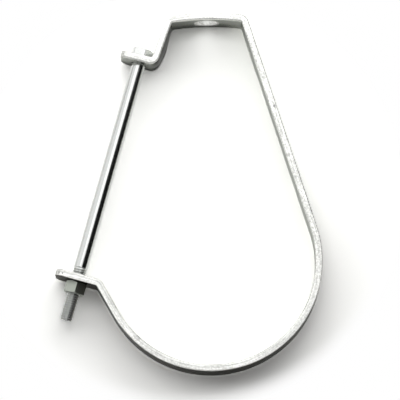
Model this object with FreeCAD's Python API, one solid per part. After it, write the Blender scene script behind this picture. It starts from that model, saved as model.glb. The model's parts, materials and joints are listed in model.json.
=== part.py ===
import FreeCAD, Part
import math
import os

# J hanger for a pipe: one formed strap, hung from a threaded rod, and a long side bolt with its nut.
# The origin is the centre of the rod hole, at the middle of the strap's thickness. +Z is up, X runs
# across the pipe and Y runs along it. All lengths are in millimetres and all angles in degrees.

# Strap stock, sheared flat bar
STRAP_THICKNESS = 4.7625
STRAP_WIDTH = 25.4
ROLLED_EDGE_RADIUS = 1.5
SHEARED_EDGE_BREAK = 0.4
EAR_CORNER_RADIUS = 6.0
INSIDE_BEND_RADIUS = 1.5

# Top plate, which hangs on the rod
ROD_DIAMETER = 15.875
ROD_HOLE_CLEARANCE = 0.79375
CROWN_RADIUS = 180.0
CROWN_LEFT_REACH = 22.9
CROWN_RIGHT_REACH = 23.05

# Pipe seat and the arm that rises from it to the lower ear
PIPE_DIAMETER = 141.3
PIPE_CLEARANCE = 0.75
ROD_TO_PIPE = 170.08
ARM_LEAN = 28.5
ARM_RUN = 23.05

# Ears, square to the side bolt
BOLT_LEAN = 16.4
HEAD_SEAT_DROP = 37.95
UPPER_BEND_CLEARANCE = 0.3
LOWER_BEND_TO_BOLT = 14.43
UPPER_EAR_REACH = 13.4
LOWER_EAR_REACH = 15.2

# Side bolt and nut
BOLT_DIAMETER = 9.525
BOLT_HOLE_CLEARANCE = 0.79375
BOLT_PROJECTION = 19.54
BOLT_POINT_CHAMFER = 0.9
HEX_ACROSS_FLATS = 13.9
HEX_CHAMFER_ANGLE = 30.0
HEX_FACE_SHARE = 0.95
HEAD_HEIGHT = 6.17
WASHER_FACE_HEIGHT = 0.4
HEAD_TURN = 17.3
NUT_HEIGHT = 8.2
NUT_TURN = 7.0
NUT_THREAD_CLEARANCE = 0.05
NUT_MOUTH_CHAMFER = 0.6

# Worked out from the sizes above
SEAT_RADIUS = PIPE_DIAMETER / 2 + PIPE_CLEARANCE
HEX_CORNER_RADIUS = HEX_ACROSS_FLATS / math.sqrt(3)
HEX_FACE_RADIUS = HEX_FACE_SHARE * HEX_ACROSS_FLATS / 2
EDGE_MATCH = 0.001


def heading(degrees):
    """Unit vector in the XZ plane, turned from +X towards +Z."""
    turn = math.radians(degrees)
    return FreeCAD.Vector(math.cos(turn), 0, math.sin(turn))


def meet(first, first_heading, second, second_heading):
    """Point where two lines in the XZ plane cross."""
    along = heading(first_heading)
    across = heading(second_heading + 90)
    return first + along * ((second - first).dot(across) / along.dot(across))


BOLT_UP = heading(90 - BOLT_LEAN)
BOLT_RIGHT = heading(-BOLT_LEAN)


class Bend:
    """A round stretch of the strap's loop face. Travel runs from the upper ear to the lower one.

    A bend to the right has its centre on the loop's side of the strap, and its outer face lies one
    thickness further out. A bend to the left has its centre on the outer side.
    """

    def __init__(self, centre, radius, heading_in, heading_out):
        self.centre = centre
        self.radius = radius
        side = 90 if heading_out < heading_in else -90
        self.thickness = STRAP_THICKNESS if side > 0 else -STRAP_THICKNESS
        self.angles = (heading_in + side, (heading_in + heading_out) / 2 + side, heading_out + side)

    def points(self, outer):
        """Start, middle and end of the bend on the loop face or on the outer face."""
        radius = self.radius + (self.thickness if outer else 0)
        return [self.centre + heading(angle) * radius for angle in self.angles]


def ear_bend(corner, heading_in, heading_out):
    """Left bend at an ear, from the sharp corner that its outer faces would make."""
    setback = INSIDE_BEND_RADIUS * math.tan(math.radians(heading_out - heading_in) / 2)
    centre = corner - heading(heading_in) * setback + heading(heading_in + 90) * INSIDE_BEND_RADIUS
    return Bend(centre, INSIDE_BEND_RADIUS + STRAP_THICKNESS, heading_in, heading_out)


class StrapPath:
    """The strap's side outline, from the end of the upper ear round the pipe to the lower ear."""

    def __init__(self):
        crown_centre = FreeCAD.Vector(0, 0, -STRAP_THICKNESS / 2 - CROWN_RADIUS)
        self.pipe_centre = FreeCAD.Vector(0, 0, -ROD_TO_PIPE)
        crown_in = math.degrees(math.asin(CROWN_LEFT_REACH / CROWN_RADIUS))
        crown_out = -math.degrees(math.asin(CROWN_RIGHT_REACH / CROWN_RADIUS))
        to_bend = CROWN_RADIUS - INSIDE_BEND_RADIUS
        left_centre = crown_centre + heading(90 + crown_in) * to_bend
        right_centre = crown_centre + heading(90 + crown_out) * to_bend

        # The leg touches both the top right bend and the pipe seat
        span = self.pipe_centre - right_centre
        leg = math.degrees(math.atan2(span.z, span.x))
        leg += math.degrees(math.asin((SEAT_RADIUS - INSIDE_BEND_RADIUS) / span.Length))
        arm = 90 + ARM_LEAN - 360
        lower_ear = -180 - BOLT_LEAN

        # The arm leaves the seat and ends at the lower ear, which sets where the bolt stands
        arm_start = self.pipe_centre + heading(arm + 90) * (SEAT_RADIUS + STRAP_THICKNESS)
        lower_corner = arm_start + heading(arm) * ARM_RUN
        self.nut_seat = lower_corner - BOLT_RIGHT * LOWER_BEND_TO_BOLT
        head_level = BOLT_UP * -HEAD_SEAT_DROP
        self.head_seat = meet(self.nut_seat, 90 - BOLT_LEAN, head_level, -BOLT_LEAN)

        # The drop starts beside the bolt's head and touches the outside of the top left bend
        head_room = HEX_CORNER_RADIUS + UPPER_BEND_CLEARANCE
        upper_corner = self.head_seat + BOLT_RIGHT * head_room
        rise = left_centre - upper_corner
        drop = math.degrees(math.atan2(rise.z, rise.x))
        drop += math.degrees(math.asin((INSIDE_BEND_RADIUS + STRAP_THICKNESS) / rise.Length))

        self.bends = [
            ear_bend(upper_corner, -BOLT_LEAN, drop),
            Bend(left_centre, INSIDE_BEND_RADIUS, drop, crown_in),
            Bend(crown_centre, CROWN_RADIUS, crown_in, crown_out),
            Bend(right_centre, INSIDE_BEND_RADIUS, crown_out, leg),
            Bend(self.pipe_centre, SEAT_RADIUS, leg, arm),
            ear_bend(lower_corner, arm, lower_ear),
        ]

    def face_line(self, outer):
        """Edges of the loop face or the outer face, in the plane of the side outline, with their ends."""
        ear = BOLT_UP * (0 if outer else STRAP_THICKNESS)
        position = self.head_seat - BOLT_RIGHT * UPPER_EAR_REACH - ear
        last = self.nut_seat - BOLT_RIGHT * LOWER_EAR_REACH + ear
        first = position
        edges = []
        for bend in self.bends:
            start, middle, end = bend.points(outer)
            if start.distanceToPoint(position) > EDGE_MATCH:
                edges.append(Part.makeLine(position, start))
            edges.append(Part.Arc(start, middle, end).toShape())
            position = end
        edges.append(Part.makeLine(position, last))
        return edges, first, last


def hole(seat, direction, diameter, depth):
    """Cutter for a round hole through the strap, centred on its thickness."""
    return Part.makeCylinder(diameter / 2, depth, seat - direction * (depth / 2), direction)


def edges_at(shape, points):
    """Straight edges of the shape that run between one of the pairs of points."""
    found = []
    for edge in shape.Edges:
        ends = [vertex.Point for vertex in edge.Vertexes]
        for pair in points:
            if len(ends) == 2 and all(min(p.distanceToPoint(q) for q in ends) < EDGE_MATCH for p in pair):
                found.append(edge)
    return found


def rim_edges(shape, sheet, tips):
    """Edges round the border of one face of the strap, without the seams that cross its width."""
    found = []
    for edge in shape.Edges:
        middle = edge.valueAt((edge.FirstParameter + edge.LastParameter) / 2)
        points = [middle] + [vertex.Point for vertex in edge.Vertexes]
        if any(sheet.distToShape(Part.Vertex(p))[0] > EDGE_MATCH for p in points):
            continue
        crosses = abs(middle.y) < EDGE_MATCH
        at_tip = min(FreeCAD.Vector(middle.x, 0, middle.z).distanceToPoint(tip) for tip in tips) < EDGE_MATCH
        if not crosses or at_tip:
            found.append(edge)
    return found


def face_sheet(edges):
    """The whole loop face or outer face as a sheet, swept across the strap's width."""
    line = Part.Wire(Part.__sortEdges__(edges))
    line.translate(FreeCAD.Vector(0, -STRAP_WIDTH / 2, 0))
    return line.extrude(FreeCAD.Vector(0, STRAP_WIDTH, 0))


def make_strap(path):
    """The formed strap: side outline, rod hole, bolt holes, rounded ears and rolled edges."""
    across = FreeCAD.Vector(0, STRAP_WIDTH, 0)
    to_side = FreeCAD.Vector(0, -STRAP_WIDTH / 2, 0)
    loop_edges, loop_first, loop_last = path.face_line(outer=False)
    outer_edges, outer_first, outer_last = path.face_line(outer=True)
    ends = [Part.makeLine(loop_first, outer_first), Part.makeLine(loop_last, outer_last)]
    outline = Part.Wire(Part.__sortEdges__(loop_edges + outer_edges + ends))
    outline.translate(to_side)
    strap = Part.Face(outline).extrude(across)

    corners = []
    for first, second in ((loop_first, outer_first), (loop_last, outer_last)):
        for side in (to_side, -to_side):
            corners.append((first + side, second + side))
    strap = strap.makeFillet(EAR_CORNER_RADIUS, edges_at(strap, corners))

    # The edges are rolled over on the loop face, and only broken on the outer face
    loop_rim = rim_edges(strap, face_sheet(loop_edges), (loop_first, loop_last))
    strap = strap.makeFillet(ROLLED_EDGE_RADIUS, loop_rim)
    outer_rim = rim_edges(strap, face_sheet(outer_edges), (outer_first, outer_last))
    strap = strap.makeChamfer(SHEARED_EDGE_BREAK, outer_rim)

    depth = 2 * STRAP_THICKNESS
    rod_hole = ROD_DIAMETER + 2 * ROD_HOLE_CLEARANCE
    bolt_hole = BOLT_DIAMETER + 2 * BOLT_HOLE_CLEARANCE
    half_thickness = BOLT_UP * (STRAP_THICKNESS / 2)
    strap = strap.cut(hole(FreeCAD.Vector(0, 0, 0), FreeCAD.Vector(0, 0, 1), rod_hole, depth))
    strap = strap.cut(hole(path.head_seat - half_thickness, BOLT_UP, bolt_hole, depth))
    return strap.cut(hole(path.nut_seat + half_thickness, BOLT_UP, bolt_hole, depth))


def turned(profile):
    """Solid of revolution about Z from a closed profile of (radius, height) points."""
    points = [FreeCAD.Vector(radius, 0, height) for radius, height in profile]
    face = Part.Face(Part.makePolygon(points + points[:1]))
    return face.revolve(FreeCAD.Vector(0, 0, 0), FreeCAD.Vector(0, 0, 1), 360)


def hexagon(base, top, corner_turn):
    """Hexagonal prism about Z. One corner faces -Y and is turned from there towards +X."""
    points = []
    for step in range(6):
        turn = math.radians(corner_turn + 60 * step)
        points.append(FreeCAD.Vector(math.sin(turn), -math.cos(turn), 0) * HEX_CORNER_RADIUS)
    face = Part.Face(Part.makePolygon(points + points[:1]))
    face.translate(FreeCAD.Vector(0, 0, base))
    return face.extrude(FreeCAD.Vector(0, 0, top - base))


def chamfered_blank(base, top, lower_chamfer):
    """Turned blank whose common part with a hexagon gives it the usual corner chamfers."""
    slope = (HEX_CORNER_RADIUS - HEX_FACE_RADIUS) * math.tan(math.radians(HEX_CHAMFER_ANGLE))
    profile = [(0, top), (HEX_FACE_RADIUS, top), (HEX_CORNER_RADIUS, top - slope)]
    if lower_chamfer:
        profile += [(HEX_CORNER_RADIUS, base + slope), (HEX_FACE_RADIUS, base)]
    else:
        profile += [(HEX_CORNER_RADIUS, base)]
    return turned(profile + [(0, base)])


def stand_on_bolt(shape, seat):
    """Moves a piece made about Z to its seat on the bolt's axis."""
    moved = shape.copy()
    moved.Placement = FreeCAD.Placement(seat, FreeCAD.Rotation(FreeCAD.Vector(0, 1, 0), BOLT_LEAN))
    return moved


def make_bolt(path):
    """Hexagon bolt with a washer face, a plain shank at the thread's outer diameter and a chamfered point."""
    grip = path.head_seat.distanceToPoint(path.nut_seat)
    length = grip + NUT_HEIGHT + BOLT_PROJECTION
    radius = BOLT_DIAMETER / 2
    blank = chamfered_blank(WASHER_FACE_HEIGHT, HEAD_HEIGHT, lower_chamfer=False)
    head = hexagon(WASHER_FACE_HEIGHT, HEAD_HEIGHT, HEAD_TURN).common(blank)
    shank = turned([
        (0, WASHER_FACE_HEIGHT),
        (HEX_FACE_RADIUS, WASHER_FACE_HEIGHT),
        (HEX_FACE_RADIUS, 0),
        (radius, 0),
        (radius, BOLT_POINT_CHAMFER - length),
        (radius - BOLT_POINT_CHAMFER, -length),
        (0, -length),
    ])
    return stand_on_bolt(head.fuse(shank), path.head_seat)


def make_nut(path):
    """Hexagon nut, chamfered on both faces, with a plain bore at the thread's outer diameter."""
    bore = BOLT_DIAMETER / 2 + NUT_THREAD_CLEARANCE
    mouth = bore + NUT_MOUTH_CHAMFER
    blank = chamfered_blank(-NUT_HEIGHT, 0, lower_chamfer=True)
    body = hexagon(-NUT_HEIGHT, 0, NUT_TURN).common(blank)
    cutter = turned([
        (0, 0),
        (mouth, 0),
        (bore, -NUT_MOUTH_CHAMFER),
        (bore, NUT_MOUTH_CHAMFER - NUT_HEIGHT),
        (mouth, -NUT_HEIGHT),
        (0, -NUT_HEIGHT),
    ])
    return stand_on_bolt(body.cut(cutter), path.nut_seat)


def main():
    """Builds each piece and writes it to its own file."""
    os.makedirs("parts", exist_ok=True)
    path = StrapPath()
    pieces = {
        "hanger_strap": make_strap(path),
        "side_bolt": make_bolt(path),
        "hex_nut": make_nut(path),
    }
    for name, shape in pieces.items():
        solid = shape.Solids[0]
        solid.exportStep("parts/" + name + ".step")
        box = solid.BoundBox
        print(name, len(shape.Solids), "solid", round(solid.Volume), "mm3", solid.isValid())
        print("  x", round(box.XMin, 3), round(box.XMax, 3), "y", round(box.YMin, 3), round(box.YMax, 3),
              "z", round(box.ZMin, 3), round(box.ZMax, 3))
    print("head seat", path.head_seat, "nut seat", path.nut_seat, "bolt up", BOLT_UP)
    print("grip", path.head_seat.distanceToPoint(path.nut_seat))


if __name__ == "__main__":
    main()
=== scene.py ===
"""Looks of a J hanger for a pipe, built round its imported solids. Lengths are in metres, angles in radians."""

from __future__ import annotations

import json
import logging
import math
from collections.abc import Sequence
from dataclasses import dataclass, field
from enum import Enum

import bpy
from mathutils import Matrix, Vector


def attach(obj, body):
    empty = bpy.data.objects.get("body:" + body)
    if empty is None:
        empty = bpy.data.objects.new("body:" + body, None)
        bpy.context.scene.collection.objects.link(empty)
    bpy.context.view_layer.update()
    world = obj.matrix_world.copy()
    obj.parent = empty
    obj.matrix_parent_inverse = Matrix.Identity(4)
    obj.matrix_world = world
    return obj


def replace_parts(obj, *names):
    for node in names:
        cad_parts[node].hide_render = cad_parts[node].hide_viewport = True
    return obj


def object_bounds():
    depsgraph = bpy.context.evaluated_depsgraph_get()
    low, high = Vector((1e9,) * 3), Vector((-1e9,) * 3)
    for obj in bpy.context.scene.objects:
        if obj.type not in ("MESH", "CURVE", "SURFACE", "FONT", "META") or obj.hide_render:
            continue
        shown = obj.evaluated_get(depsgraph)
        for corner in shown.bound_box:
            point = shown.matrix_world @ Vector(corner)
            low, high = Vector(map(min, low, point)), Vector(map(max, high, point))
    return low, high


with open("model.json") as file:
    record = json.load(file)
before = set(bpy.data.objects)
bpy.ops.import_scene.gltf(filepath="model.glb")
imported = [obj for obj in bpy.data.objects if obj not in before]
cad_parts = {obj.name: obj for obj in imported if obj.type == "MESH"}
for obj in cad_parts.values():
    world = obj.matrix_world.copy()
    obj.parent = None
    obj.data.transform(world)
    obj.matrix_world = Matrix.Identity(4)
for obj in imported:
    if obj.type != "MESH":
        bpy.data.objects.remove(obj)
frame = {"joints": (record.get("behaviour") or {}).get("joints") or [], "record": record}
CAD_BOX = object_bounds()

LOG = logging.getLogger("hanger")
MM = 0.001
TOUCHING = 0.001 * MM
SHARP_TURN = math.radians(28)
Y_AXIS = Vector((0, 1, 0))

FLAT = "flat"
THREADED = "threaded"
GROOVE_SHADE = "groove"

Point = tuple[float, float]
Span = tuple[float, float]
Triple = tuple[float, float, float]


class Side(Enum):
    """The two broad faces of the strap."""

    LOOP = -1
    OUTER = 1


def heading(angle: float) -> Vector:
    """Unit vector in the XZ plane, turned from +X towards +Z by the angle."""
    return Vector((math.cos(angle), 0, math.sin(angle)))


def quarter_turn(steps: int) -> list[float]:
    """Angles from zero to a right angle in equal steps."""
    return [math.pi / 2 * i / steps for i in range(steps + 1)]


def record_mount(name: str) -> dict:
    """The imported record's mount of that name."""
    return next(mount for mount in frame["record"]["mounts"] if mount["name"] == name)


def record_joint(name: str) -> dict:
    """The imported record's joint of that name."""
    return next(joint for joint in frame["joints"] if joint["name"] == name)


@dataclass(frozen=True)
class BoltAxis:
    """The line on which the bolt and the nut stand, from the nut's seat up to the head."""

    seat: Vector
    up: Vector

    @property
    def right(self) -> Vector:
        """Level direction across the ears, towards the pipe."""
        return Y_AXIS.cross(self.up)

    def matrix(self) -> Matrix:
        """Places a piece made about Z, with its origin at the nut's seat, on the bolt's axis."""
        turn = Matrix((self.right, Y_AXIS, self.up)).transposed().to_4x4()
        return Matrix.Translation(self.seat) @ turn


NUT_TURN = record_joint("nut_turn")
BOLT_AXIS = BoltAxis(Vector(NUT_TURN["pos_m"]), Vector(NUT_TURN["axis"]).normalized())


def node_group(name: str, inputs: dict[str, str]) -> bpy.types.NodeTree:
    """Makes an empty geometry node tree with a geometry input and output and further inputs.

    Args:
        name: The tree's name.
        inputs: The socket type of each further input, by its label.

    Returns:
        The tree.
    """
    group = bpy.data.node_groups.new(name, "GeometryNodeTree")
    sockets = group.interface
    sockets.new_socket("Geometry", in_out="INPUT", socket_type="NodeSocketGeometry")
    for label, kind in inputs.items():
        sockets.new_socket(label, in_out="INPUT", socket_type=kind)
    sockets.new_socket("Geometry", in_out="OUTPUT", socket_type="NodeSocketGeometry")
    return group


def add_tree(piece: bpy.types.Object, group: bpy.types.NodeTree, values: dict[str, object]) -> None:
    """Adds a geometry nodes modifier and sets its inputs.

    Args:
        piece: The object to change.
        group: The modifier's tree.
        values: The value of each input, by its label.
    """
    modifier = piece.modifiers.new(group.name, "NODES")
    modifier.node_group = group
    for socket in group.interface.items_tree:
        if socket.in_out == "INPUT" and socket.name in values:
            modifier[socket.identifier] = values[socket.name]


def mesh_object(name: str, points: Sequence[Vector], faces: Sequence[Sequence[int]]) -> bpy.types.Object:
    """Links a new mesh object at the origin.

    Args:
        name: The object's name.
        points: Its corners.
        faces: The corner numbers of each face, counterclockwise from outside.

    Returns:
        The object.
    """
    mesh = bpy.data.meshes.new(name)
    mesh.from_pydata([tuple(point) for point in points], [], [tuple(face) for face in faces])
    mesh.validate()
    piece = bpy.data.objects.new(name, mesh)
    bpy.context.scene.collection.objects.link(piece)
    return piece


def baked(source: bpy.types.Object, name: str) -> bpy.types.Object:
    """Replaces an object with a plain mesh of what its modifiers make.

    Args:
        source: The object with its modifiers, which is removed.
        name: The name of the plain mesh object.

    Returns:
        The new object, at the origin.
    """
    graph = bpy.context.evaluated_depsgraph_get()
    mesh = bpy.data.meshes.new_from_object(
        source.evaluated_get(graph), preserve_all_data_layers=True, depsgraph=graph
    )
    bpy.data.objects.remove(source)
    mesh.name = name
    piece = bpy.data.objects.new(name, mesh)
    bpy.context.scene.collection.objects.link(piece)
    return piece


def crisp(piece: bpy.types.Object) -> None:
    """Shades a piece smooth, with sharp edges where faces meet at more than SHARP_TURN."""
    piece.data.shade_smooth()
    piece.data.set_sharp_from_angle(angle=SHARP_TURN)


def straight_run(start: Vector, end: Vector, step: float = 3 * MM) -> list[Vector]:
    """Divides a straight run evenly.

    Args:
        start: Where it starts.
        end: Where it ends.
        step: The longest distance between two points.

    Returns:
        The points after the start, and none where start and end touch.
    """
    length = (end - start).length
    if length < TOUCHING:
        return []
    count = math.ceil(length / step)
    return [start.lerp(end, i / count) for i in range(1, count + 1)]


def circle(radius: float, height: float, count: int) -> list[Vector]:
    """Ring of points about Z, counterclockwise from above."""
    turns = [2 * math.pi * i / count for i in range(count)]
    return [Vector((radius * math.cos(turn), radius * math.sin(turn), height)) for turn in turns]


def band_faces(count: int, rings: int, hollow: bool = False) -> list[tuple[int, ...]]:
    """Faces between rings of equally many points, which are numbered ring by ring.

    Args:
        count: The number of points in a ring.
        rings: The number of rings.
        hollow: True to join the last ring to the first.

    Returns:
        The four point numbers of each face.
    """
    faces = []
    for ring in range(rings if hollow else rings - 1):
        low = ring * count
        high = (ring + 1) % rings * count
        faces += [(low + i, low + (i + 1) % count, high + (i + 1) % count, high + i) for i in range(count)]
    return faces


def ringed(name: str, rings: Sequence[Sequence[Vector]], hollow: bool = False) -> bpy.types.Object:
    """Closed mesh through rings of equally many points.

    Args:
        name: The object's name.
        rings: The rings, from the bottom up the outside, and for a hollow piece on down the inside.
        hollow: True to join the last ring to the first, else both get a cap.

    Returns:
        The object.
    """
    count = len(rings[0])
    points = [point for ring in rings for point in ring]
    faces = band_faces(count, len(rings), hollow)
    if not hollow:
        faces.append(tuple(reversed(range(count))))
        faces.append(tuple(range(len(points) - count, len(points))))
    return mesh_object(name, points, faces)


def flag_points(piece: bpy.types.Object, name: str, first: int, last: int) -> None:
    """Sets a true-or-false attribute on the points from first up to last."""
    flags = piece.data.attributes.new(name, "BOOLEAN", "POINT")
    flags.data.foreach_set("value", [first <= i < last for i in range(len(piece.data.vertices))])


class Tree:
    """A node tree under construction, with one method that adds any node."""

    def __init__(self, tree: bpy.types.NodeTree) -> None:
        """Starts from an empty tree."""
        self.tree = tree
        tree.nodes.clear()

    def node(self, kind: str, settings: dict | None = None, sockets: dict | None = None) -> bpy.types.Node:
        """Adds a node.

        Args:
            kind: The node's type name.
            settings: Its properties, set before its sockets.
            sockets: The value or the link of each input, by name or number.

        Returns:
            The node.
        """
        made = self.tree.nodes.new(kind)
        for name, value in (settings or {}).items():
            setattr(made, name, value)
        for name, value in (sockets or {}).items():
            self.feed(made.inputs[name], value)
        return made

    def feed(self, socket: bpy.types.NodeSocket, value: object) -> None:
        """Links a socket or sets its value.

        Args:
            socket: The input to feed.
            value: A wrapped or plain output to link, or else the value to set.
        """
        if isinstance(value, Wire):
            value = value.socket
        if isinstance(value, bpy.types.NodeSocket):
            self.tree.links.new(value, socket)
        else:
            socket.default_value = value

    def wire(self, kind: str, output: str | int, settings: dict | None = None,
             sockets: dict | None = None) -> Wire:
        """Adds a node and wraps one of its outputs."""
        return Wire(self, self.node(kind, settings, sockets).outputs[output])

    def parts(self, vector: object) -> tuple[Wire, ...]:
        """The three numbers of a vector."""
        outputs = self.node("ShaderNodeSeparateXYZ", {}, {"Vector": vector}).outputs
        return tuple(Wire(self, outputs[axis]) for axis in "XYZ")

    def vector(self, operation: str, first: object, second: object) -> bpy.types.NodeSocket:
        """One Vector Math node on two vectors."""
        return self.node("ShaderNodeVectorMath", {"operation": operation}, {0: first, 1: second}).outputs[0]

    def scaled(self, vector: object, factor: object) -> bpy.types.NodeSocket:
        """A vector times a number."""
        sockets = {0: vector, "Scale": factor}
        return self.node("ShaderNodeVectorMath", {"operation": "SCALE"}, sockets).outputs[0]

    def distance(self, first: object, second: object) -> Wire:
        """The distance between two places."""
        return self.wire("ShaderNodeVectorMath", "Value", {"operation": "DISTANCE"}, {0: first, 1: second})

    def noise(self, place: object, scale: float, detail: float) -> Wire:
        """Noise from 0 to 1 over a place."""
        return self.wire("ShaderNodeTexNoise", "Fac", {}, {"Vector": place, "Scale": scale, "Detail": detail})

    def mix(self, factor: object, first: object, second: object, blend: str = "MIX") -> bpy.types.NodeSocket:
        """One Mix node on two colours, whose sockets have numbers because their names aren't unique."""
        settings = {"data_type": "RGBA", "blend_type": blend}
        return self.node("ShaderNodeMix", settings, {0: factor, 6: first, 7: second}).outputs[2]

    def dress(self, geometry: bpy.types.NodeSocket, material: bpy.types.NodeSocket) -> None:
        """Ends a geometry tree with real geometry in one material.

        Args:
            geometry: What the tree has made.
            material: The material's socket.
        """
        real = self.node("GeometryNodeRealizeInstances", {}, {"Geometry": geometry})
        sockets = {"Geometry": real.outputs[0], "Material": material}
        dressed = self.node("GeometryNodeSetMaterial", {}, sockets)
        self.node("NodeGroupOutput", {}, {"Geometry": dressed.outputs[0]})


class Wire:
    """A number socket that takes part in Python expressions."""

    def __init__(self, tree: Tree, socket: bpy.types.NodeSocket) -> None:
        """Wraps an output socket of the tree."""
        self.tree = tree
        self.socket = socket

    def math(self, operation: str, *values: object) -> Wire:
        """Adds a Math node that starts from this socket.

        Args:
            operation: The node's operation.
            values: Up to two further values or wires.

        Returns:
            The result.
        """
        made = self.tree.node("ShaderNodeMath", {"operation": operation})
        for socket, value in zip(made.inputs, (self, *values)):
            self.tree.feed(socket, value)
        return Wire(self.tree, made.outputs[0])

    def __add__(self, other: object) -> Wire:
        """Sum."""
        return self.math("ADD", other)

    def __radd__(self, other: object) -> Wire:
        """Sum with a number on the left."""
        return self.math("ADD", other)

    def __sub__(self, other: object) -> Wire:
        """Difference."""
        return self.math("SUBTRACT", other)

    def __rsub__(self, other: float) -> Wire:
        """A number less this socket."""
        return self.math("MULTIPLY_ADD", -1.0, other)

    def __mul__(self, other: object) -> Wire:
        """Product."""
        return self.math("MULTIPLY", other)

    def __rmul__(self, other: object) -> Wire:
        """Product with a number on the left."""
        return self.math("MULTIPLY", other)

    def __truediv__(self, other: object) -> Wire:
        """Quotient."""
        return self.math("DIVIDE", other)

    def __neg__(self) -> Wire:
        """The value with its sign changed."""
        return self.math("MULTIPLY", -1.0)

    def __abs__(self) -> Wire:
        """Size without its sign."""
        return self.math("ABSOLUTE")

    def larger(self, other: object) -> Wire:
        """The larger of two values."""
        return self.math("MAXIMUM", other)

    def clamped(self) -> Wire:
        """The value kept between 0 and 1."""
        return self.tree.wire("ShaderNodeClamp", 0, {}, {"Value": self})

    def ramp(self, low: float, high: float) -> Wire:
        """Smooth step from 0 at low to 1 at high."""
        sockets = {"Value": self, "From Min": low, "From Max": high}
        return self.tree.wire("ShaderNodeMapRange", "Result", {"interpolation_type": "SMOOTHSTEP"}, sockets)


def new_material(name: str) -> tuple[bpy.types.Material, Tree]:
    """Makes a material with an empty node tree.

    Args:
        name: The material's name.

    Returns:
        The material and its tree.
    """
    material = bpy.data.materials.new(name)
    material.use_nodes = True
    return material, Tree(material.node_tree)


@dataclass(frozen=True)
class ZincPlate:
    """Bright zinc plate on machined steel, with painted shade darkening the grooves of a thread."""

    name: str
    colour: Triple
    roughness: float
    speckle: float = 0.08
    grain: float = 1800.0
    grain_detail: float = 6.0
    grain_roughness: float = 0.1
    bump_depth: float = 0.05 * MM
    # Colour of the painted shade at the bottom of a thread's grooves.
    groove_shade_colour: Triple = (0.06, 0.06, 0.045)

    def surface(self, tree: Tree) -> dict[str, object]:
        """Adds the nodes for what changes over the piece.

        Args:
            tree: The material's tree.

        Returns:
            The shader's inputs by name, and the "Height" that bumps it.
        """
        place = tree.node("ShaderNodeTexCoord").outputs["Object"]
        fine = tree.noise(place, self.grain, self.grain_detail)
        # Painted shade: the thread's grooves darken towards the groove shade colour.
        groove = tree.wire("ShaderNodeAttribute", "Fac", {"attribute_name": GROOVE_SHADE})
        return {
            "Base Color": tree.mix(groove, (*self.colour, 1.0), (*self.groove_shade_colour, 1.0)),
            "Roughness": self.roughness + (fine - 0.5) * self.grain_roughness,
            "Height": fine,
        }

    def material(self) -> bpy.types.Material:
        """Builds the metallic material.

        Returns:
            The material.
        """
        material, tree = new_material(self.name)
        inputs = self.surface(tree)
        bump = tree.node("ShaderNodeBump", {}, {
            "Strength": self.speckle, "Distance": self.bump_depth, "Height": inputs.pop("Height"),
        })
        shader = tree.node("ShaderNodeBsdfPrincipled", {}, {
            "Metallic": 1.0, "Normal": bump.outputs["Normal"], **inputs,
        })
        tree.node("ShaderNodeOutputMaterial", {}, {"Surface": shader.outputs["BSDF"]})
        return material


@dataclass(frozen=True)
class DarkPatch:
    """A darker patch, at its place in the flat blank."""

    along: float
    across: float
    height: float
    radius: float
    depth: float
    full_share: float = 0.5

    def darkness(self, tree: Tree, flat: object, specks: Wire) -> Wire:
        """Adds the nodes for one patch.

        Args:
            tree: The material's tree.
            flat: Place in the flat blank.
            specks: Noise that frays the patch's border.

        Returns:
            How much the patch darkens each point.
        """
        away = tree.distance(flat, (self.along, self.across, self.height))
        frayed = away + (specks - 0.5) * self.radius
        return (1 - frayed.ramp(self.full_share * self.radius, self.radius)) * self.depth


@dataclass(frozen=True)
class Streaks:
    """Light and dark lines along the strap, from noise drawn out that way."""

    per_metre: float
    detail: float
    span: Span
    middle: float
    contrast: float
    stretch: Triple = (0.06, 1.0, 1.0)

    def shade(self, tree: Tree, flat: object) -> Wire:
        """Adds the nodes for the streaks.

        Args:
            tree: The material's tree.
            flat: Place in the flat blank.

        Returns:
            The brightness that they add or take away.
        """
        stretched = tree.vector("MULTIPLY", flat, self.stretch)
        noise = tree.noise(stretched, self.per_metre, self.detail)
        return (noise.ramp(*self.span) - self.middle) * self.contrast


@dataclass(frozen=True)
class StrapZones:
    """Where a point of the strap lies: its place in the flat blank, and masks from 0 to 1."""

    flat: bpy.types.NodeSocket
    along: Wire
    across: Wire
    height: Wire
    edge: Wire
    lap: Wire
    leg: Wire
    arc: Wire


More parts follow.
